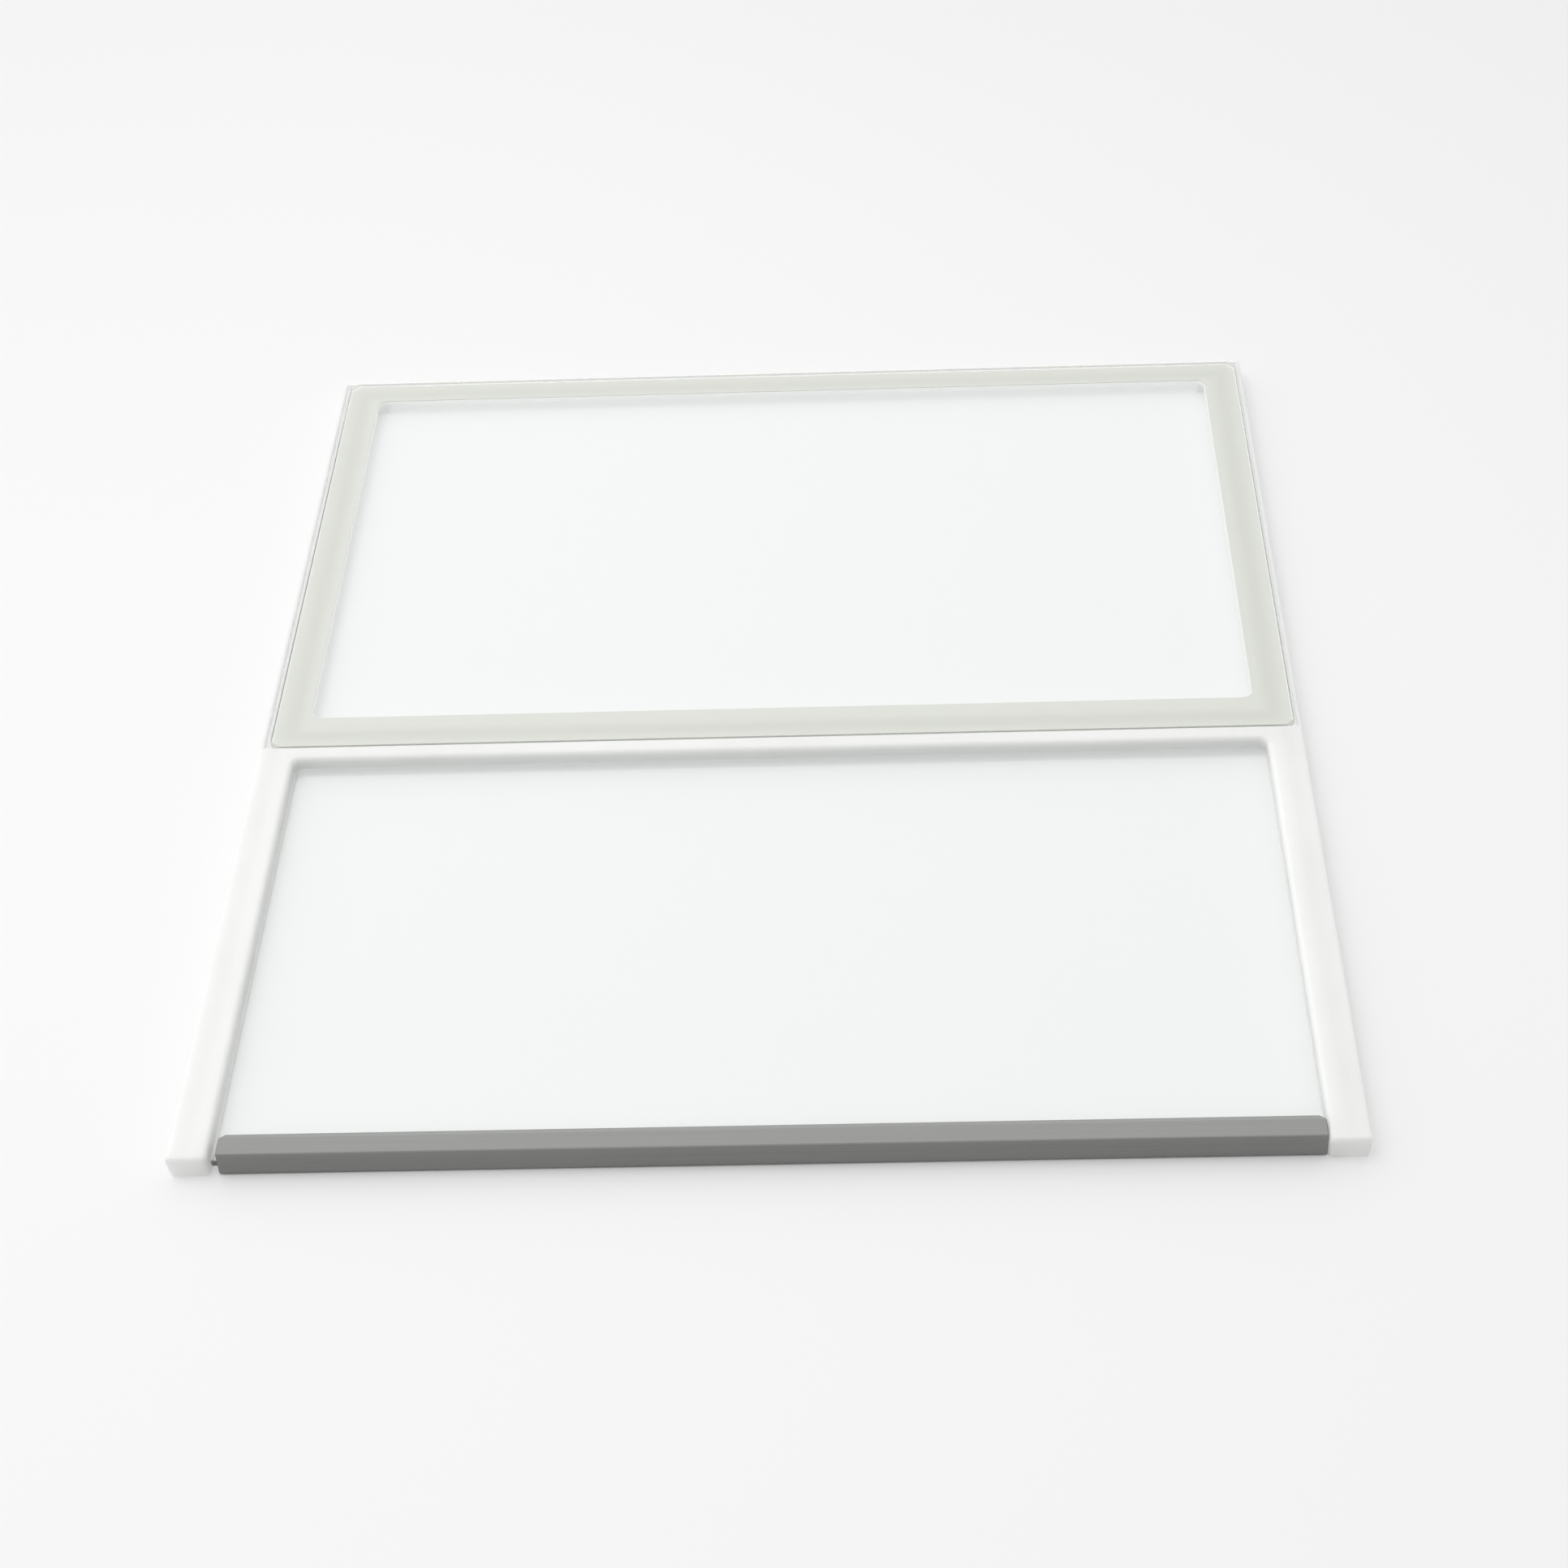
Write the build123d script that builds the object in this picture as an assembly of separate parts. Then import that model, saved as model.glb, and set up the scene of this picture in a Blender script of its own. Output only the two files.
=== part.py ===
from build123d import *
import os

# A refrigerator shelf whose front pane slides back under the fixed rear pane. It lies flat, with X across,
# Y from front to back and Z up from the surface under it; the origin is the middle of its underside.

# Panes and the stack of levels that sets the height (millimetres)
flange_thickness = 1.3
slide_clearance = 0.3
sliding_glass_thickness = 3.2
ledge_thickness = 1.5
adhesive_thickness = 0.4
rear_glass_thickness = 3.2
rear_glass_set_down = 0.2

# Frame in plan
frame_width = 430.0
frame_depth = 472.0
arm_width = 15.1
front_opening_depth = 207.2
cross_bar_depth = 7.2
side_lip = 1.4
back_lip = 1.4
front_ledge = 20.2
side_ledge = 17.0
back_ledge = 13.5
rear_post_reach = 3.4
opening_corner_radius = 3.0
frame_corner_radius = 1.2
window_corner_radius = 4.0

# Frame in section
lip_drop = 1.2
parting_depth = 2.4
side_draft = 1.2
end_draft = 0.2
top_draft = 0.15
outer_top_radius = 0.8
end_top_radius = 1.5
bottom_radius = 1.0
inner_edge_radius = 2.0
bar_rear_radius = 0.4
groove_depth = 5.0
groove_web = 1.6
outer_wall = 1.8
top_skin = 1.8
arm_end_wall = 2.2
rib_thickness = 1.4
rib_pitch = 38.0

# Rear pane, bonded into its recess a little to the right of the middle
rear_glass_side_gap = 1.5
rear_glass_front_gap = 0.6
rear_glass_back_gap = 0.5
rear_glass_shift = 0.5
rear_glass_corner = 3.8
rear_glass_corner_radius = 1.6
glass_seam = 0.35

# Adhesive bed between the ledge and the rear pane, a little short of the edges of both
adhesive_pane_inset = 1.0
adhesive_ledge_inset = 0.5

# Sliding pane, loose in its grooves, lying to the right of the middle and pulled out to its front stops
sliding_glass_side_gap = 1.9
front_stop_gap = 0.3
rear_stop_gap = 1.4
sliding_glass_overlap = 18.4
sliding_panel_shift = 1.2
sliding_glass_corner = 1.0

# Trim on the sliding pane's front edge
trim_side_gap = 1.4
trim_setback = 1.3
trim_set_down = 0.6
trim_floor_gap = 0.4
trim_upper_jaw = 1.2
trim_front_wall = 1.5
trim_top_wall = 1.3
trim_rear_leg = 1.3
trim_flare = 1.2
trim_body_depth = 7.6
trim_lip_length = 2.4
trim_lip_drop = 1.0
trim_lip_thickness = 1.0
trim_jaw_depth = 7.0
trim_ridge_radius = 0.9
trim_foot_radius = 0.5
trim_lip_end_cut = 2.2
trim_crease_height = 4.7
trim_end_chamfer = 0.3

# Levels
flange_top = flange_thickness
pane_bottom = flange_top + slide_clearance
pane_top = pane_bottom + sliding_glass_thickness
lip_underside = pane_top + slide_clearance
ledge_top = lip_underside + ledge_thickness
rear_glass_bottom = ledge_top + adhesive_thickness
rear_glass_top = rear_glass_bottom + rear_glass_thickness
frame_height = rear_glass_top + rear_glass_set_down
parting_level = frame_height - parting_depth
lip_top = frame_height - lip_drop
trim_bottom = trim_floor_gap
trim_top = frame_height - trim_set_down

# Places across
half_width = frame_width / 2
opening_half = half_width - arm_width
groove_half = opening_half + groove_depth
web_half = groove_half + groove_web
pocket_half = half_width - side_draft - outer_wall
recess_half = half_width - side_lip
window_half = recess_half - side_ledge
post_inner = window_half - rear_post_reach

# Places from front to back
front_face = -frame_depth / 2
back_face = frame_depth / 2
bar_front = front_face + front_opening_depth
bar_back = bar_front + cross_bar_depth
recess_back = back_face - back_lip
window_front = bar_back + front_ledge
window_back = recess_back - back_ledge
pocket_back = back_face - end_draft - outer_wall

# Rear pane
rear_glass_half = recess_half - rear_glass_side_gap
rear_glass_front = bar_back + rear_glass_front_gap
rear_glass_back = recess_back - rear_glass_back_gap

# Sliding panel
trim_front = front_face + trim_setback
pane_front = trim_front + trim_flare + trim_front_wall
pane_back = bar_front + sliding_glass_overlap
groove_front = pane_front - front_stop_gap

# How far cutters run past what they cut, and how near counts as on a line
past = 5.0
near = 0.01


def block(x0, x1, y0, y1, z0, z1):
    """A box given by its limits."""
    return Pos((x0 + x1) / 2, (y0 + y1) / 2, (z0 + z1) / 2) * Box(x1 - x0, y1 - y0, z1 - z0)


def drafted_profile(half, draft, top_radius):
    """A section that is widest at the parting line, drawn in towards the bottom and rounded at the top."""
    outline = Polyline(
        (-half + draft, 0),
        (half - draft, 0),
        (half, parting_level),
        (half - top_draft, frame_height),
        (-half + top_draft, frame_height),
        (-half, parting_level),
        close=True,
    )
    face = make_face(outline)
    return fillet(face.vertices().sort_by(Axis.Y)[-2:], top_radius)


def frame_blank():
    """The frame's outer form: both drafted sections and the rounded plan, where they meet."""
    side_section = drafted_profile(half_width, side_draft, outer_top_radius)
    end_section = drafted_profile(back_face, end_draft, end_top_radius)
    across = extrude(Plane.XZ * side_section, frame_depth, both=True)
    along = extrude(Plane.YZ * end_section, frame_width, both=True)
    plan = extrude(RectangleRounded(frame_width, frame_depth, frame_corner_radius), frame_height)
    return across & along & plan


def rounded_bay(half, y0, y1, z0, z1, radius):
    """A prism across the shelf with its two rear corners rounded."""
    face = Pos(0, (y0 + y1) / 2) * Rectangle(2 * half, y1 - y0)
    face = fillet(face.vertices().sort_by(Axis.Y)[-2:], radius)
    return extrude(Pos(0, 0, z0) * face, z1 - z0)


def on_opening(edge):
    """Whether a top or front edge belongs to the inner sides of the arms or the front of the cross bar."""
    middle = edge.center()
    inside = abs(middle.X) < opening_half + near and middle.Y < bar_front + near
    at_top = middle.Z > frame_height - near
    at_front = middle.Y < front_face + end_top_radius
    return inside and (at_top or at_front)


def shaped_frame():
    """The blank with the front opening, the way between the lower flanges and out between the rear posts, and
    the rounded edges of all three."""
    opening = rounded_bay(
        opening_half, front_face - past, bar_front, -past, frame_height + past, opening_corner_radius
    )
    way = block(-opening_half, opening_half, front_face - past, window_back, -past, lip_underside)
    way_out = block(-post_inner, post_inner, window_back - past, back_face + past, -past, lip_underside)
    body = frame_blank() - opening - way - way_out
    body = fillet([edge for edge in body.edges() if on_opening(edge)], inner_edge_radius)
    return fillet(body.faces().group_by(Axis.Z)[0].edges(), bottom_radius)


def pane_grooves():
    """The grooves that the sliding pane's sides run in, from the front stops to the rear posts."""
    return block(-groove_half, groove_half, groove_front, window_back, flange_top, lip_underside)


def window_prism(margin, z0, z1):
    """A prism of the window's rounded outline, widened all round by a margin."""
    outline = RectangleRounded(
        2 * (window_half + margin), window_back - window_front + 2 * margin, window_corner_radius + margin
    )
    return extrude(Pos(0, (window_front + window_back) / 2, z0) * outline, z1 - z0)


def rear_seat():
    """The recess of the rear pane, the window inside its ledge, and the lowered rim around it."""
    recess = block(-recess_half, recess_half, bar_back, recess_back, ledge_top, frame_height + past)
    window = window_prism(0, pane_top, frame_height)
    rim = block(-frame_width, frame_width, bar_back, frame_depth, lip_top, frame_height + past)
    return recess + window + rim


def pocket_row(x0, x1, y0, y1, top, along):
    """Pockets open at the underside, with ribs of equal thickness between them."""
    run = (x1 - x0) if along == "x" else (y1 - y0)
    count = max(1, round(run / rib_pitch))
    size = (run - (count - 1) * rib_thickness) / count
    pockets = []
    for index in range(count):
        start = index * (size + rib_thickness)
        if along == "x":
            pockets.append(block(x0 + start, x0 + start + size, y0, y1, -past, top))
        else:
            pockets.append(block(x0, x1, y0 + start, y0 + start + size, -past, top))
    return pockets


def underside_pockets():
    """The cores of both arms, both rear rails and both rear posts."""
    pockets = []
    arm_start = front_face + arm_end_wall
    arm_end = bar_back - rib_thickness
    post_start = window_back + groove_web
    for side in (-1, 1):
        low, high = sorted((side * web_half, side * pocket_half))
        pockets += pocket_row(low, high, arm_start, arm_end, frame_height - top_skin, "y")
        pockets += pocket_row(low, high, bar_back, pocket_back, lip_underside, "y")
        low, high = sorted((side * (post_inner + groove_web), side * groove_half))
        pockets += pocket_row(low, high, post_start, pocket_back, lip_underside, "x")
    return pockets


def make_frame():
    """The one-piece moulded frame."""
    body = shaped_frame()
    body -= rear_seat()
    body -= pane_grooves()
    body -= underside_pockets()
    rear_edge = [
        edge for edge in body.edges().filter_by(Axis.X)
        if abs(edge.center().Y - bar_back) < near and abs(edge.center().Z - frame_height) < near
    ]
    return fillet(rear_edge, bar_rear_radius)


def cut_corner_outline(width, depth, corner):
    """A rectangle with its corners cut off."""
    return chamfer(Rectangle(width, depth).vertices(), corner)


def rear_outline(inset):
    """The rear pane's outline, drawn in all round by an inset, with its cut corners eased."""
    width = 2 * (rear_glass_half - inset)
    depth = rear_glass_back - rear_glass_front - 2 * inset
    face = cut_corner_outline(width, depth, rear_glass_corner)
    return fillet(face.vertices(), rear_glass_corner_radius)


def seamed_pane(outline, thickness):
    """A pane of glass with its sharp edges ground off."""
    pane = extrude(outline, thickness)
    rims = pane.faces().sort_by(Axis.Z)
    return chamfer(rims[0].edges() + rims[-1].edges(), glass_seam)


def make_rear_glass():
    """The fixed rear pane."""
    pane = seamed_pane(rear_outline(0), rear_glass_thickness)
    return Pos(rear_glass_shift, (rear_glass_front + rear_glass_back) / 2, rear_glass_bottom) * pane


def make_adhesive():
    """The flat ring of adhesive that bonds the rear pane to the ledge."""
    centre = Pos(rear_glass_shift, (rear_glass_front + rear_glass_back) / 2, ledge_top)
    bed = centre * extrude(rear_outline(adhesive_pane_inset), adhesive_thickness)
    return bed - window_prism(adhesive_ledge_inset, ledge_top - past, rear_glass_bottom + past)


def make_sliding_glass():
    """The clear front pane."""
    width = 2 * (groove_half - sliding_glass_side_gap)
    outline = cut_corner_outline(width, pane_back - pane_front, sliding_glass_corner)
    pane = seamed_pane(outline, sliding_glass_thickness)
    return Pos(sliding_panel_shift, (pane_front + pane_back) / 2, pane_bottom) * pane


def trim_section():
    """The trim's section from front to back: flared foot, ridge, flat top, sloping lip and two jaws."""
    foot = trim_front
    face = trim_front + trim_flare
    body_back = face + trim_body_depth
    lip_back = body_back + trim_lip_length
    jaw_back = pane_front + trim_jaw_depth
    crease = trim_bottom + trim_crease_height
    lip_level = trim_top - trim_lip_drop
    outline = Polyline(
        (foot, trim_bottom),
        (jaw_back, trim_bottom),
        (jaw_back, pane_bottom),
        (pane_front, pane_bottom),
        (pane_front, pane_top),
        (body_back, pane_top),
        (body_back, trim_top - trim_top_wall),
        (lip_back, lip_level - trim_lip_thickness),
        (lip_back, lip_level),
        (body_back, trim_top),
        (face, trim_top),
        (face, crease),
        close=True,
    )
    section = make_face(outline)
    ridge = section.vertices().sort_by_distance((face, trim_top))[0]
    section = fillet(ridge, trim_ridge_radius)
    toe = section.vertices().sort_by_distance((foot, trim_bottom))[0]
    section = fillet(toe, trim_foot_radius)
    chamber_front = face + trim_front_wall
    chamber_back = body_back - trim_rear_leg
    chamber_low = pane_top + trim_upper_jaw
    chamber_high = trim_top - trim_top_wall
    chamber = Pos((chamber_front + chamber_back) / 2, (chamber_low + chamber_high) / 2) * Rectangle(
        chamber_back - chamber_front, chamber_high - chamber_low
    )
    return section - chamber


def make_trim():
    """The trim, as long as the opening allows, with the ends of its rear lip cut back."""
    half = opening_half - trim_side_gap
    left = sliding_panel_shift - half
    right = sliding_panel_shift + half
    trim = extrude(Plane.YZ.offset(left) * trim_section(), right - left)
    ends = trim.faces().filter_by(Axis.X)
    end_edges = [edge for face in (ends.sort_by(Axis.X)[0], ends.sort_by(Axis.X)[-1])
                 for edge in face.outer_wire().edges()]
    trim = chamfer(end_edges, trim_end_chamfer)
    body_back = trim_front + trim_flare + trim_body_depth
    for end, inward in ((left, 1), (right, -1)):
        corner = make_face(Polyline(
            (end - inward * past, body_back),
            (end, body_back),
            (end + inward * trim_lip_end_cut, body_back + trim_lip_length),
            (end + inward * trim_lip_end_cut, body_back + trim_lip_length + past),
            (end - inward * past, body_back + trim_lip_length + past),
            close=True,
        ))
        trim -= extrude(Pos(0, 0, pane_top) * corner, trim_top)
    return trim


nodes = {
    "frame": make_frame(),
    "rear_glass": make_rear_glass(),
    "adhesive_bed": make_adhesive(),
    "sliding_glass": make_sliding_glass(),
    "front_trim": make_trim(),
}

os.makedirs("parts", exist_ok=True)
for name, shape in nodes.items():
    export_step(shape, f"parts/{name}.step")
    print(name, round(shape.volume, 1))

# How far the pane slides: until the trim's rear lip is the rear stop gap short of the cross bar
trim_back = trim_front + trim_flare + trim_body_depth + trim_lip_length
print("height", round(frame_height, 3), "travel", round(bar_front - trim_back - rear_stop_gap, 3))
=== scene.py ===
import math

import bpy
import numpy as np
from bpy.props import FloatProperty, FloatVectorProperty, PointerProperty
from mathutils import Matrix, Vector


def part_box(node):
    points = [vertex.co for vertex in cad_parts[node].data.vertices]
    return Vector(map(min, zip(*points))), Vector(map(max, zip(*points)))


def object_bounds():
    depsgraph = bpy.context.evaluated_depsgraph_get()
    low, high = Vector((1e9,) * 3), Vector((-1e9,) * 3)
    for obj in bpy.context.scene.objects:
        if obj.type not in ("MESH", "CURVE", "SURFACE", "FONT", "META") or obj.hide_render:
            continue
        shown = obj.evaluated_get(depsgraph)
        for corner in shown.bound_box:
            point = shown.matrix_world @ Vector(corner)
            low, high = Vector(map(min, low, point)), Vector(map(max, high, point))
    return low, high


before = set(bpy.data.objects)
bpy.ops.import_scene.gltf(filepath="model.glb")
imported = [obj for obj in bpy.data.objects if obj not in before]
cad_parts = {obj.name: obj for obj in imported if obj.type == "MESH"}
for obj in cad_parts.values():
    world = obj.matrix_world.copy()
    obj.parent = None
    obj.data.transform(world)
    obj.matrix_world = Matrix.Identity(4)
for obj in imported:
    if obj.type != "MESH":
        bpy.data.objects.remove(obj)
cad_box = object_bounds()

bl_info = {
    "name": "Sliding glass shelf",
    "version": (1, 0, 0),
    "blender": (4, 5, 0),
    "location": "3D View > Sidebar > Shelf",
    "description": "Finishes a refrigerator shelf with a fixed rear pane and a sliding front pane",
    "category": "Object",
}

# Refractive index of each material
PLASTIC_INDEX = 1.49
GLASS_INDEX = 1.52
ADHESIVE_INDEX = 1.4
TRIM_INDEX = 1.5

# Span of the noise over which each pattern runs from its first value to its second
PATCH_TONES = (0.35, 0.65)
PATCH_SHINES = (0.3, 0.7)
WIPE_MARKS = (0.55, 0.75)
STREAK_SHINES = (-0.3, 0.3)
DRAWN_TONES = (0.3, 0.7)
GRAIN_SHINES = (0.2, 0.8)
FLOOR_TONES = (0.3, 0.7)

# Size of the wipe marks on the panes in metres, and how much finer they are along each axis
WIPE_SIZE = 0.25
WIPE_SQUEEZE = (9.0, 1.6, 1.0)
# Depth at which the ground edge of a pane fades out, in widths of that edge
EDGE_FADE = 1.4
# Scale along the trim's lines and the adhesive's streaks, which draws them out
DRAWN_SQUEEZE = (0.01, 1.0, 1.0)
STREAK_SQUEEZE = 0.03
# Roughness of the adhesive from its shiniest to its dullest streak, and how far the trim's strays
ADHESIVE_ROUGHNESS = (0.45, 0.6)
TRIM_STRAY = 0.05

# Rings and spokes of the floor, the size of its tones in metres and how much duller the dullest are
FLOOR_RINGS = 24
FLOOR_SPOKES = 64
FLOOR_PATCH = 0.8
FLOOR_DULLER = 0.006
# Share of the light's upward lean that a level floor takes in, over the half sphere above it
LEAN_SHARE = 2.0 / 3.0
# Level of the surroundings where they are mirrored
MIRRORED_LEVEL = 1.0

# Image that the camera is set for, in pixels, its sensor in millimetres and its nearest depth in metres
IMAGE_WIDTH = 1932
SENSOR_WIDTH = 36.0
NEAREST = 0.01

# Places of the colours among a mix node's sockets
MIX_FIRST, MIX_SECOND, MIX_RESULT = 6, 7, 2


# Settings

class ShelfFrameSettings(bpy.types.PropertyGroup):
    """The white moulded plastic of the frame."""
    colour: FloatVectorProperty(
        name="Colour", description="Colour of the white moulding", subtype="COLOR", size=3,
        min=0.0, max=1.0, default=(0.888, 0.888, 0.868),
    )
    shade: FloatVectorProperty(
        name="Shade", description="Colour of the slightly duller patches", subtype="COLOR", size=3,
        min=0.0, max=1.0, default=(0.872, 0.872, 0.849),
    )
    patch: FloatProperty(
        name="Patch size", description="Size of the duller patches", subtype="DISTANCE", unit="LENGTH",
        min=0.001, default=0.060,
    )
    grain: FloatProperty(
        name="Grain size", description="Size of the fine mould texture", subtype="DISTANCE", unit="LENGTH",
        min=0.0001, default=0.0007,
    )
    relief: FloatProperty(
        name="Relief", description="Height of the fine mould texture", subtype="DISTANCE", unit="LENGTH",
        min=0.0, default=0.000012,
    )
    smooth: FloatProperty(
        name="Least roughness", description="Roughness of the shiniest patches", subtype="FACTOR",
        min=0.0, max=1.0, default=0.30,
    )
    dull: FloatProperty(
        name="Most roughness", description="Roughness of the dullest patches", subtype="FACTOR",
        min=0.0, max=1.0, default=0.42,
    )
    spread: FloatProperty(
        name="Light spread", description="Distance that light spreads inside the plastic",
        subtype="DISTANCE", unit="LENGTH", min=0.0, default=0.008,
    )
    light_through: FloatProperty(
        name="Light through", description="Share of light that each face lets through to things below",
        subtype="FACTOR", min=0.0, max=1.0, default=0.74,
    )


class ShelfGlassSettings(bpy.types.PropertyGroup):
    """The two panes of toughened glass."""
    tint: FloatVectorProperty(
        name="Tint", description="Colour that is left after a long way through the glass", subtype="COLOR",
        size=3, min=0.0, max=1.0, default=(0.22, 0.68, 0.48),
    )
    density: FloatProperty(
        name="Density", description="How fast the tint deepens, for each metre of glass",
        min=0.0, default=4.5,
    )
    light_through: FloatVectorProperty(
        name="Light through", description="Light that each face lets through to what lies below",
        subtype="COLOR", size=3, min=0.0, max=1.0, default=(0.974, 0.977, 0.976),
    )
    polish: FloatProperty(
        name="Face roughness", description="Roughness of the polished faces", subtype="FACTOR",
        min=0.0, max=1.0, default=0.0,
    )
    haze: FloatProperty(
        name="Wipe marks", description="Extra roughness in the faint wipe marks", subtype="FACTOR",
        min=0.0, max=1.0, default=0.03,
    )
    ground: FloatProperty(
        name="Edge roughness", description="Roughness of the ground edges", subtype="FACTOR",
        min=0.0, max=1.0, default=0.32,
    )
    seam: FloatProperty(
        name="Ground edge width", description="Width of the ground band along each edge",
        subtype="DISTANCE", unit="LENGTH", min=0.0, default=0.00040,
    )
    rear_corner: FloatProperty(
        name="Rear pane corner", description="Length cut off the rear pane's corners", subtype="DISTANCE",
        unit="LENGTH", min=0.0, default=0.0038,
    )
    front_corner: FloatProperty(
        name="Front pane corner", description="Length cut off the front pane's corners", subtype="DISTANCE",
        unit="LENGTH", min=0.0, default=0.0010,
    )


class ShelfAdhesiveSettings(bpy.types.PropertyGroup):
    """The bed of adhesive that shows through the rear pane."""
    thin: FloatVectorProperty(
        name="Thin", description="Colour near the edges of the bed", subtype="COLOR", size=3,
        min=0.0, max=1.0, default=(0.750, 0.752, 0.695),
    )
    thick: FloatVectorProperty(
        name="Thick", description="Colour along the middle of the bed", subtype="COLOR", size=3,
        min=0.0, max=1.0, default=(0.685, 0.687, 0.635),
    )
    middle: FloatProperty(
        name="Middle", description="Distance from the bed's outer edge to the thickest line",
        subtype="DISTANCE", unit="LENGTH", min=0.0, default=0.0068,
    )
    spread: FloatProperty(
        name="Spread", description="Half width of the thick line", subtype="DISTANCE", unit="LENGTH",
        min=0.0001, default=0.0065,
    )
    streak: FloatProperty(
        name="Streak size", description="Width of the streaks that run along the bed", subtype="DISTANCE",
        unit="LENGTH", min=0.0001, default=0.0016,
    )
    streak_depth: FloatProperty(
        name="Streak depth", description="How far the streaks change the colour", subtype="FACTOR",
        min=0.0, max=1.0, default=0.18,
    )
    light_through: FloatProperty(
        name="Light through", description="Share of light that each face lets through to things below",
        subtype="FACTOR", min=0.0, max=1.0, default=0.93,
    )


class ShelfTrimSettings(bpy.types.PropertyGroup):
    """The grey plastic trim of the sliding pane."""
    colour: FloatVectorProperty(
        name="Colour", description="Colour of the grey trim", subtype="COLOR", size=3,
        min=0.0, max=1.0, default=(0.213, 0.218, 0.206),
    )
    shade: FloatVectorProperty(
        name="Shade", description="Colour of the darker drawn lines", subtype="COLOR", size=3,
        min=0.0, max=1.0, default=(0.198, 0.203, 0.192),
    )
    drawn: FloatProperty(
        name="Drawn line width", description="Width of the lines left along the extrusion",
        subtype="DISTANCE", unit="LENGTH", min=0.0001, default=0.0009,
    )
    grain: FloatProperty(
        name="Grain size", description="Size of the fine surface texture",
        subtype="DISTANCE", unit="LENGTH", min=0.0001, default=0.0005,
    )
    relief: FloatProperty(
        name="Relief", description="Height of the fine surface texture", subtype="DISTANCE", unit="LENGTH",
        min=0.0, default=0.000015,
    )
    roughness: FloatProperty(
        name="Roughness", description="Roughness of the satin surface", subtype="FACTOR",
        min=0.0, max=1.0, default=0.38,
    )


class ShelfStageSettings(bpy.types.PropertyGroup):
    """Floor, light and camera."""
    floor_colour: FloatVectorProperty(
        name="Floor colour", description="Colour of the pale floor", subtype="COLOR", size=3,
        min=0.0, max=1.0, default=(0.93, 0.93, 0.93),
    )
    floor_radius: FloatProperty(
        name="Floor radius", description="Radius of the floor", subtype="DISTANCE", unit="LENGTH",
        min=1.0, default=9.0,
    )
    floor_gap: FloatProperty(
        name="Floor gap", description="Gap between the floor and the underside", subtype="DISTANCE",
        unit="LENGTH", min=0.0, default=0.0002,
    )
    backdrop: FloatVectorProperty(
        name="Backdrop", description="Colour of the surroundings as seen and mirrored",
        subtype="COLOR", size=3, min=0.0, max=1.0, default=(0.96, 0.96, 0.96),
    )
    ambient: FloatProperty(
        name="Ambient light", description="Mean light from the surroundings", min=0.0, default=0.36,
    )
    ambient_lean: FloatVectorProperty(
        name="Ambient lean", description="Extra light from the surroundings for each direction",
        subtype="DIRECTION", size=3, default=(-0.40, 0.55, 0.74),
    )
    key_place: FloatVectorProperty(
        name="Key lamp place", description="Place of the soft lamp above and to the left",
        subtype="TRANSLATION", unit="LENGTH", size=3, default=(-0.50, 0.00, 1.50),
    )
    key_size: FloatVectorProperty(
        name="Key lamp size", description="Width and height of the soft lamp",
        subtype="XYZ", unit="LENGTH", size=2, min=0.01, default=(0.9, 0.9),
    )
    key_power: FloatProperty(
        name="Key lamp power", description="Power of the soft lamp",
        unit="POWER", min=0.0, default=5.4,
    )
    camera_place: FloatVectorProperty(
        name="Camera place", description="Place of the camera",
        subtype="TRANSLATION", unit="LENGTH", size=3, default=(0.0571, -0.8316, 0.7680),
    )
    camera_yaw: FloatProperty(
        name="Camera yaw", description="Turn of the view to the right", subtype="ANGLE", unit="ROTATION",
        default=math.radians(-2.42),
    )
    camera_pitch: FloatProperty(
        name="Camera pitch", description="Tilt of the view downwards", subtype="ANGLE", unit="ROTATION",
        default=math.radians(44.09),
    )
    camera_roll: FloatProperty(
        name="Camera roll", description="Clockwise turn of the camera", subtype="ANGLE", unit="ROTATION",
        default=math.radians(2.93),
    )
    focal_pixels: FloatProperty(
        name="Focal length", description="Focal length in pixels of the image", subtype="PIXEL",
        min=1.0, default=3321.0,
    )
    axis_pixels: FloatProperty(
        name="Axis offset", description="Pixels from the image's middle to the lens axis", subtype="PIXEL",
        default=64.0,
    )


# Node helpers

def new_material(name):
    """A node material with nothing in it but its output."""
    material = bpy.data.materials.new(name)
    material.use_nodes = True
    tree = material.node_tree
    tree.nodes.clear()
    return material, tree, tree.nodes.new("ShaderNodeOutputMaterial")


def add_node(tree, kind, inputs, **settings):
    """A new node: each input is linked if it is given as a socket, and set as a value otherwise."""
    node = tree.nodes.new(kind)
    for key, value in settings.items():
        setattr(node, key, value)
    for key, value in inputs.items():
        if isinstance(value, bpy.types.NodeSocket):
            tree.links.new(value, node.inputs[key])
        elif isinstance(node.inputs[key].default_value, float):
            node.inputs[key].default_value = value
        else:
            missing = len(node.inputs[key].default_value) - len(value)
            node.inputs[key].default_value = tuple(value) + (1.0,) * missing
    return node


def maths(tree, operation, *values):
    """The result of a maths node, which takes values and sockets."""
    return add_node(tree, "ShaderNodeMath", dict(enumerate(values)), operation=operation).outputs[0]


def mapped(tree, value, low, high, to_low, to_high):
    """A value carried smoothly from one range to another and held at its ends."""
    inputs = {"Value": value, "From Min": low, "From Max": high, "To Min": to_low, "To Max": to_high}
    return add_node(tree, "ShaderNodeMapRange", inputs, interpolation_type="SMOOTHSTEP").outputs["Result"]


def mixed_colour(tree, share, first, second):
    """A colour between two colours."""
    inputs = {"Factor": share, MIX_FIRST: first, MIX_SECOND: second}
    return add_node(tree, "ShaderNodeMix", inputs, data_type="RGBA").outputs[MIX_RESULT]


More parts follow.
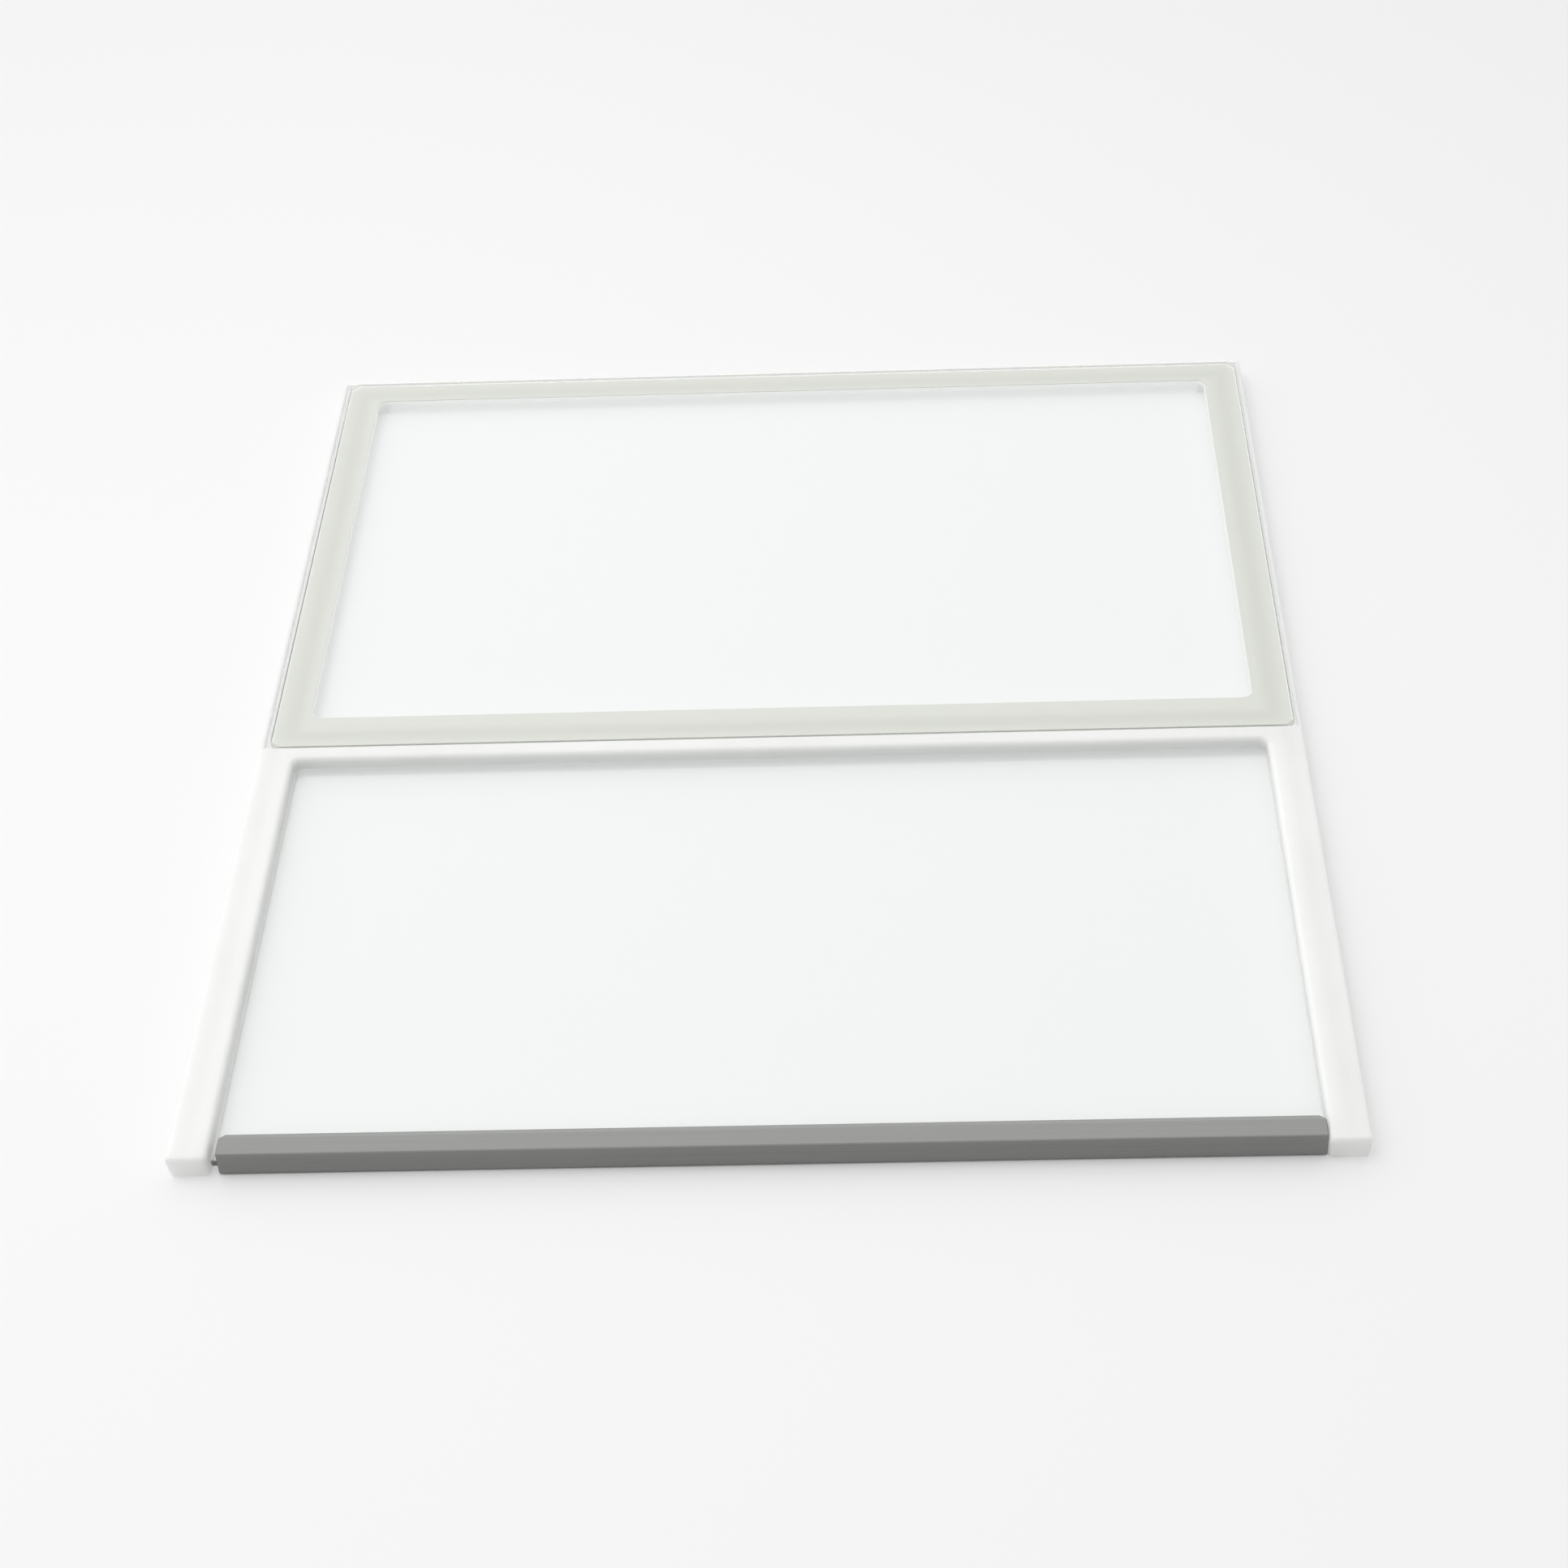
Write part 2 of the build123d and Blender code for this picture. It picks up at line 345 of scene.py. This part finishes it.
def object_place(tree):
    """The place on the piece, in metres in the shared frame."""
    return add_node(tree, "ShaderNodeTexCoord", {}).outputs["Object"]


def squeezed(tree, place, scale):
    """A place drawn out or pressed together along each axis."""
    return add_node(tree, "ShaderNodeMapping", {"Vector": place, "Scale": scale}).outputs[0]


def noise(tree, place, size, detail):
    """Soft noise whose patches are about the given size."""
    inputs = {"Vector": place, "Scale": 1.0 / size, "Detail": detail}
    return add_node(tree, "ShaderNodeTexNoise", inputs).outputs["Fac"]


def fine_relief(tree, height, depth):
    """A bump of the given depth from a height between 0 and 1."""
    inputs = {"Height": height, "Distance": depth, "Strength": 1.0}
    return add_node(tree, "ShaderNodeBump", inputs).outputs[0]


def outside_by(tree, place, low, high):
    """How far a place lies outside a rectangle in plan, over both axes and along each. Inside it, that is
    below zero."""
    axes = add_node(tree, "ShaderNodeSeparateXYZ", {"Vector": place}).outputs
    away = []
    for axis, start, end in ((axes["X"], low[0], high[0]), (axes["Y"], low[1], high[1])):
        offset = maths(tree, "ABSOLUTE", maths(tree, "SUBTRACT", axis, (start + end) / 2))
        away.append(maths(tree, "SUBTRACT", offset, (end - start) / 2))
    return maths(tree, "MAXIMUM", *away), away


def mixed_shader(tree, share, first, second):
    """A shader between two shaders."""
    node = add_node(tree, "ShaderNodeMixShader", {0: share})
    tree.links.new(first.outputs[0], node.inputs[1])
    tree.links.new(second.outputs[0], node.inputs[2])
    return node


def lit_through(tree, surface, film):
    """A surface as it is seen, which is only a film to light that goes through it to other things."""
    path = add_node(tree, "ShaderNodeLightPath", {}).outputs
    passing = maths(tree, "MAXIMUM", path["Is Shadow Ray"], path["Is Diffuse Ray"])
    unseen = mixed_shader(tree, passing, surface, film)
    return mixed_shader(tree, path["Is Camera Ray"], unseen, surface)


def pale_film(tree, colour, share):
    """A thin film of plastic that lets a share of the light through."""
    return add_node(tree, "ShaderNodeBsdfPrincipled", {"Base Color": colour, "Alpha": 1.0 - share})


def give_material(node_name, material):
    """Puts a material on every slot of a shelf piece."""
    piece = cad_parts[node_name]
    if not piece.material_slots:
        piece.data.materials.append(material)
    for slot in piece.material_slots:
        slot.material = material


# Finishes

def white_moulding(settings):
    """Satin white plastic that light soaks into, with slow patches of tone and shine and a fine texture."""
    material, tree, output = new_material("white_moulding")
    place = object_place(tree)
    patches = noise(tree, place, settings.patch, detail=3.0)
    tone = mapped(tree, patches, *PATCH_TONES, 0.0, 1.0)
    grain = noise(tree, place, settings.grain, detail=2.0)
    surface = add_node(tree, "ShaderNodeBsdfPrincipled", {
        "Base Color": mixed_colour(tree, tone, settings.colour, settings.shade),
        "Roughness": mapped(tree, patches, *PATCH_SHINES, settings.smooth, settings.dull),
        "Normal": fine_relief(tree, grain, settings.relief),
        "IOR": PLASTIC_INDEX,
        "Subsurface Weight": 1.0,
        "Subsurface Radius": (1.0, 1.0, 1.0),
        "Subsurface Scale": settings.spread,
    })
    film = pale_film(tree, settings.colour, settings.light_through)
    tree.links.new(lit_through(tree, surface, film).outputs[0], output.inputs["Surface"])
    return material


def toughened_glass(name, settings, low, high, corner):
    """Clear glass: green in its depth, polished on its faces, ground along its edges and cut corners."""
    material, tree, output = new_material(name)
    place = object_place(tree)
    outside, away = outside_by(tree, place, low, high)
    across_corner = maths(tree, "ADD", maths(tree, "ADD", *away), corner)
    corner_outside = maths(tree, "MULTIPLY", across_corner, math.sqrt(0.5))
    nearest = maths(tree, "MAXIMUM", outside, corner_outside)
    edge = mapped(tree, nearest, -EDGE_FADE * settings.seam, -settings.seam, 0.0, 1.0)
    marks = noise(tree, squeezed(tree, place, WIPE_SQUEEZE), WIPE_SIZE, detail=4.0)
    wipes = mapped(tree, marks, *WIPE_MARKS, settings.polish, settings.polish + settings.haze)
    rough = maths(tree, "MAXIMUM", wipes, maths(tree, "MULTIPLY", edge, settings.ground))
    glass = add_node(tree, "ShaderNodeBsdfPrincipled", {
        "Base Color": (1.0, 1.0, 1.0),
        "Roughness": rough,
        "IOR": GLASS_INDEX,
        "Transmission Weight": 1.0,
    })
    depth = add_node(tree, "ShaderNodeVolumeAbsorption", {
        "Color": settings.tint,
        "Density": settings.density,
    })
    film = add_node(tree, "ShaderNodeBsdfTransparent", {"Color": settings.light_through})
    tree.links.new(lit_through(tree, glass, film).outputs[0], output.inputs["Surface"])
    tree.links.new(depth.outputs[0], output.inputs["Volume"])
    return material


def pale_adhesive(settings, low, high):
    """Adhesive pressed flat: a darker line along the middle of the bed, and streaks that run along it."""
    material, tree, output = new_material("pale_adhesive")
    place = object_place(tree)
    across, _ = outside_by(tree, place, low, high)
    offset = maths(tree, "ABSOLUTE", maths(tree, "ADD", across, settings.middle))
    thick = mapped(tree, offset, 0.0, settings.spread, 1.0, 0.0)
    axes = add_node(tree, "ShaderNodeSeparateXYZ", {"Vector": place}).outputs
    along = maths(tree, "MULTIPLY", maths(tree, "ADD", axes["X"], axes["Y"]), STREAK_SQUEEZE)
    lane = add_node(tree, "ShaderNodeCombineXYZ", {"X": across, "Y": along}).outputs[0]
    streaks = maths(tree, "SUBTRACT", noise(tree, lane, settings.streak, detail=2.0), 0.5)
    share = maths(tree, "ADD", thick, maths(tree, "MULTIPLY", streaks, 2.0 * settings.streak_depth))
    surface = add_node(tree, "ShaderNodeBsdfPrincipled", {
        "Base Color": mixed_colour(tree, share, settings.thin, settings.thick),
        "Roughness": mapped(tree, streaks, *STREAK_SHINES, *ADHESIVE_ROUGHNESS),
        "IOR": ADHESIVE_INDEX,
    })
    film = pale_film(tree, settings.thin, settings.light_through)
    tree.links.new(lit_through(tree, surface, film).outputs[0], output.inputs["Surface"])
    return material


def grey_trim(settings):
    """Satin grey plastic with faint lines drawn along its length and a fine texture."""
    material, tree, output = new_material("grey_trim")
    place = object_place(tree)
    lines = noise(tree, squeezed(tree, place, DRAWN_SQUEEZE), settings.drawn, detail=2.0)
    tone = mapped(tree, lines, *DRAWN_TONES, 0.0, 1.0)
    grain = noise(tree, place, settings.grain, detail=2.0)
    shiniest, dullest = settings.roughness - TRIM_STRAY, settings.roughness + TRIM_STRAY
    surface = add_node(tree, "ShaderNodeBsdfPrincipled", {
        "Base Color": mixed_colour(tree, tone, settings.colour, settings.shade),
        "Roughness": mapped(tree, grain, *GRAIN_SHINES, shiniest, dullest),
        "Normal": fine_relief(tree, grain, settings.relief),
        "IOR": TRIM_INDEX,
        "Specular IOR Level": 1.0,
    })
    tree.links.new(surface.outputs[0], output.inputs["Surface"])
    return material


def pale_floor(settings):
    """Plain pale floor with the faintest change of tone."""
    material, tree, output = new_material("pale_floor")
    patches = noise(tree, object_place(tree), FLOOR_PATCH, detail=1.0)
    tone = mapped(tree, patches, *FLOOR_TONES, 0.0, 1.0)
    duller = [channel - FLOOR_DULLER for channel in settings.floor_colour]
    colour = mixed_colour(tree, tone, settings.floor_colour, duller)
    surface = add_node(tree, "ShaderNodeBsdfDiffuse", {"Color": colour})
    tree.links.new(surface.outputs[0], output.inputs["Surface"])
    return material


# Stage

def floor_mesh(radius, level):
    """A flat disc: a point is (r cos a, r sin a, level), with r growing by squares from the middle to the
    rim and a running once round."""
    grow = np.linspace(0.0, 1.0, FLOOR_RINGS + 1)[1:] ** 2 * radius
    turn = np.linspace(0.0, 2.0 * math.pi, FLOOR_SPOKES, endpoint=False)
    r, a = np.meshgrid(grow, turn, indexing="ij")
    rings = np.stack([r * np.cos(a), r * np.sin(a), np.full_like(r, level)], axis=-1).reshape(-1, 3)
    points = np.vstack([[[0.0, 0.0, level]], rings])
    spoke = np.arange(FLOOR_SPOKES)
    after = (spoke + 1) % FLOOR_SPOKES
    fan = np.stack([np.zeros_like(spoke), 1 + spoke, 1 + after], axis=-1)
    start = 1 + FLOOR_SPOKES * np.arange(FLOOR_RINGS - 1)[:, None]
    quads = np.stack(np.broadcast_arrays(
        start + spoke, start + FLOOR_SPOKES + spoke, start + FLOOR_SPOKES + after, start + after
    ), axis=-1).reshape(-1, 4)
    mesh = bpy.data.meshes.new("floor")
    mesh.from_pydata(points.tolist(), [], fan.tolist() + quads.tolist())
    return mesh


def set_surroundings(settings):
    """Surroundings that light the shelf from above, behind and the left, are mirrored pale, and are seen as
    bright as the floor is far from the lamp."""
    world = bpy.data.worlds.new("surroundings")
    bpy.context.scene.world = world
    world.use_nodes = True
    tree = world.node_tree
    tree.nodes.clear()
    path = add_node(tree, "ShaderNodeLightPath", {}).outputs
    seen = maths(tree, "MAXIMUM", path["Is Camera Ray"], path["Is Transmission Ray"])
    toward = add_node(tree, "ShaderNodeTexCoord", {}).outputs["Generated"]
    directions = {0: toward, 1: settings.ambient_lean}
    extra = add_node(tree, "ShaderNodeVectorMath", directions, operation="DOT_PRODUCT")
    level = mapped(tree, path["Is Glossy Ray"], 0.0, 1.0, settings.ambient, MIRRORED_LEVEL)
    leaning = maths(tree, "MAXIMUM", maths(tree, "ADD", extra.outputs["Value"], level), 0.0)
    mean_from_above = settings.ambient + settings.ambient_lean[2] * LEAN_SHARE
    strength = mapped(tree, seen, 0.0, 1.0, leaning, mean_from_above * settings.floor_colour[1])
    light = add_node(tree, "ShaderNodeBackground", {"Color": settings.backdrop, "Strength": strength})
    output = tree.nodes.new("ShaderNodeOutputWorld")
    tree.links.new(light.outputs[0], output.inputs["Surface"])


def add_lamp(name, place, size, power):
    """A flat soft lamp that faces the middle of the shelf and isn't mirrored in it."""
    lamp = bpy.data.lights.new(name, "AREA")
    lamp.shape = "RECTANGLE"
    lamp.size, lamp.size_y = size
    lamp.energy = power
    holder = bpy.data.objects.new(name, lamp)
    bpy.context.scene.collection.objects.link(holder)
    turn = (-Vector(place)).to_track_quat("-Z", "Y").to_matrix().to_4x4()
    holder.matrix_world = Matrix.Translation(Vector(place)) @ turn
    holder.visible_glossy = False
    holder.visible_transmission = False


def add_camera(settings):
    """The camera: yaw about the upright, pitch below the horizon, then roll about its own axis."""
    yaw, pitch, roll = settings.camera_yaw, settings.camera_pitch, settings.camera_roll
    forward = Vector((math.sin(yaw) * math.cos(pitch), math.cos(yaw) * math.cos(pitch), -math.sin(pitch)))
    level = Vector((math.cos(yaw), -math.sin(yaw), 0.0))
    down = forward.cross(level)
    right = math.cos(roll) * level + math.sin(roll) * down
    up = math.sin(roll) * level - math.cos(roll) * down
    data = bpy.data.cameras.new("camera")
    data.sensor_width = SENSOR_WIDTH
    data.lens = SENSOR_WIDTH * settings.focal_pixels / IMAGE_WIDTH
    data.shift_x = -settings.axis_pixels / IMAGE_WIDTH
    data.clip_start = NEAREST
    camera = bpy.data.objects.new("camera", data)
    bpy.context.scene.collection.objects.link(camera)
    turn = Matrix((right, up, -forward)).transposed().to_4x4()
    camera.matrix_world = Matrix.Translation(Vector(settings.camera_place)) @ turn
    bpy.context.scene.camera = camera


# Operators

class SHELF_OT_finish_frame(bpy.types.Operator):
    """Give the moulded frame its white plastic"""
    bl_idname = "shelf.finish_frame"
    bl_label = "Finish frame"

    def execute(self, context):
        give_material("frame", white_moulding(context.scene.shelf_frame))
        return {"FINISHED"}


class SHELF_OT_finish_panes(bpy.types.Operator):
    """Give both panes their glass"""
    bl_idname = "shelf.finish_panes"
    bl_label = "Finish panes"

    def execute(self, context):
        settings = context.scene.shelf_glass
        corners = {"rear_glass": settings.rear_corner, "sliding_glass": settings.front_corner}
        for node_name, corner in corners.items():
            low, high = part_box(node_name)
            give_material(node_name, toughened_glass(f"{node_name}_clear", settings, low, high, corner))
        return {"FINISHED"}


class SHELF_OT_finish_adhesive(bpy.types.Operator):
    """Give the adhesive bed its streaked, pale look"""
    bl_idname = "shelf.finish_adhesive"
    bl_label = "Finish adhesive"

    def execute(self, context):
        settings = context.scene.shelf_adhesive
        give_material("adhesive_bed", pale_adhesive(settings, *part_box("adhesive_bed")))
        return {"FINISHED"}


class SHELF_OT_finish_trim(bpy.types.Operator):
    """Give the trim its grey plastic"""
    bl_idname = "shelf.finish_trim"
    bl_label = "Finish trim"

    def execute(self, context):
        give_material("front_trim", grey_trim(context.scene.shelf_trim))
        return {"FINISHED"}


class SHELF_OT_set_stage(bpy.types.Operator):
    """Add the floor, the light and the camera"""
    bl_idname = "shelf.set_stage"
    bl_label = "Set stage"

    def execute(self, context):
        settings = context.scene.shelf_stage
        level = cad_box[0].z - settings.floor_gap
        floor = bpy.data.objects.new("floor", floor_mesh(settings.floor_radius, level))
        floor.data.materials.append(pale_floor(settings))
        context.scene.collection.objects.link(floor)
        set_surroundings(settings)
        add_lamp("key_lamp", settings.key_place, settings.key_size, settings.key_power)
        add_camera(settings)
        context.scene.view_settings.view_transform = "Standard"
        return {"FINISHED"}


SETTINGS = {
    "shelf_frame": ShelfFrameSettings,
    "shelf_glass": ShelfGlassSettings,
    "shelf_adhesive": ShelfAdhesiveSettings,
    "shelf_trim": ShelfTrimSettings,
    "shelf_stage": ShelfStageSettings,
}
OPERATORS = (
    SHELF_OT_finish_frame,
    SHELF_OT_finish_panes,
    SHELF_OT_finish_adhesive,
    SHELF_OT_finish_trim,
    SHELF_OT_set_stage,
)


class SHELF_PT_sidebar(bpy.types.Panel):
    """Lists the shelf's settings, each above the button that applies them"""
    bl_idname = "SHELF_PT_sidebar"
    bl_label = "Sliding glass shelf"
    bl_space_type = "VIEW_3D"
    bl_region_type = "UI"
    bl_category = "Shelf"

    def draw(self, context):
        for group_name, operator in zip(SETTINGS, OPERATORS):
            group = getattr(context.scene, group_name)
            box = self.layout.box()
            for key in group.__annotations__:
                box.prop(group, key)
            box.operator(operator.bl_idname)


CLASSES = (*SETTINGS.values(), *OPERATORS, SHELF_PT_sidebar)


def register():
    """Adds the classes and hangs each group of settings on the scene."""
    for cls in CLASSES:
        bpy.utils.register_class(cls)
    for group_name, group in SETTINGS.items():
        setattr(bpy.types.Scene, group_name, PointerProperty(type=group))


def unregister():
    """Takes the settings and the classes away again."""
    for group_name in SETTINGS:
        delattr(bpy.types.Scene, group_name)
    for cls in reversed(CLASSES):
        bpy.utils.unregister_class(cls)


def main():
    """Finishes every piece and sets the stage."""
    register()
    bpy.ops.shelf.finish_frame()
    bpy.ops.shelf.finish_panes()
    bpy.ops.shelf.finish_adhesive()
    bpy.ops.shelf.finish_trim()
    bpy.ops.shelf.set_stage()


if __name__ == "__main__":
    main()
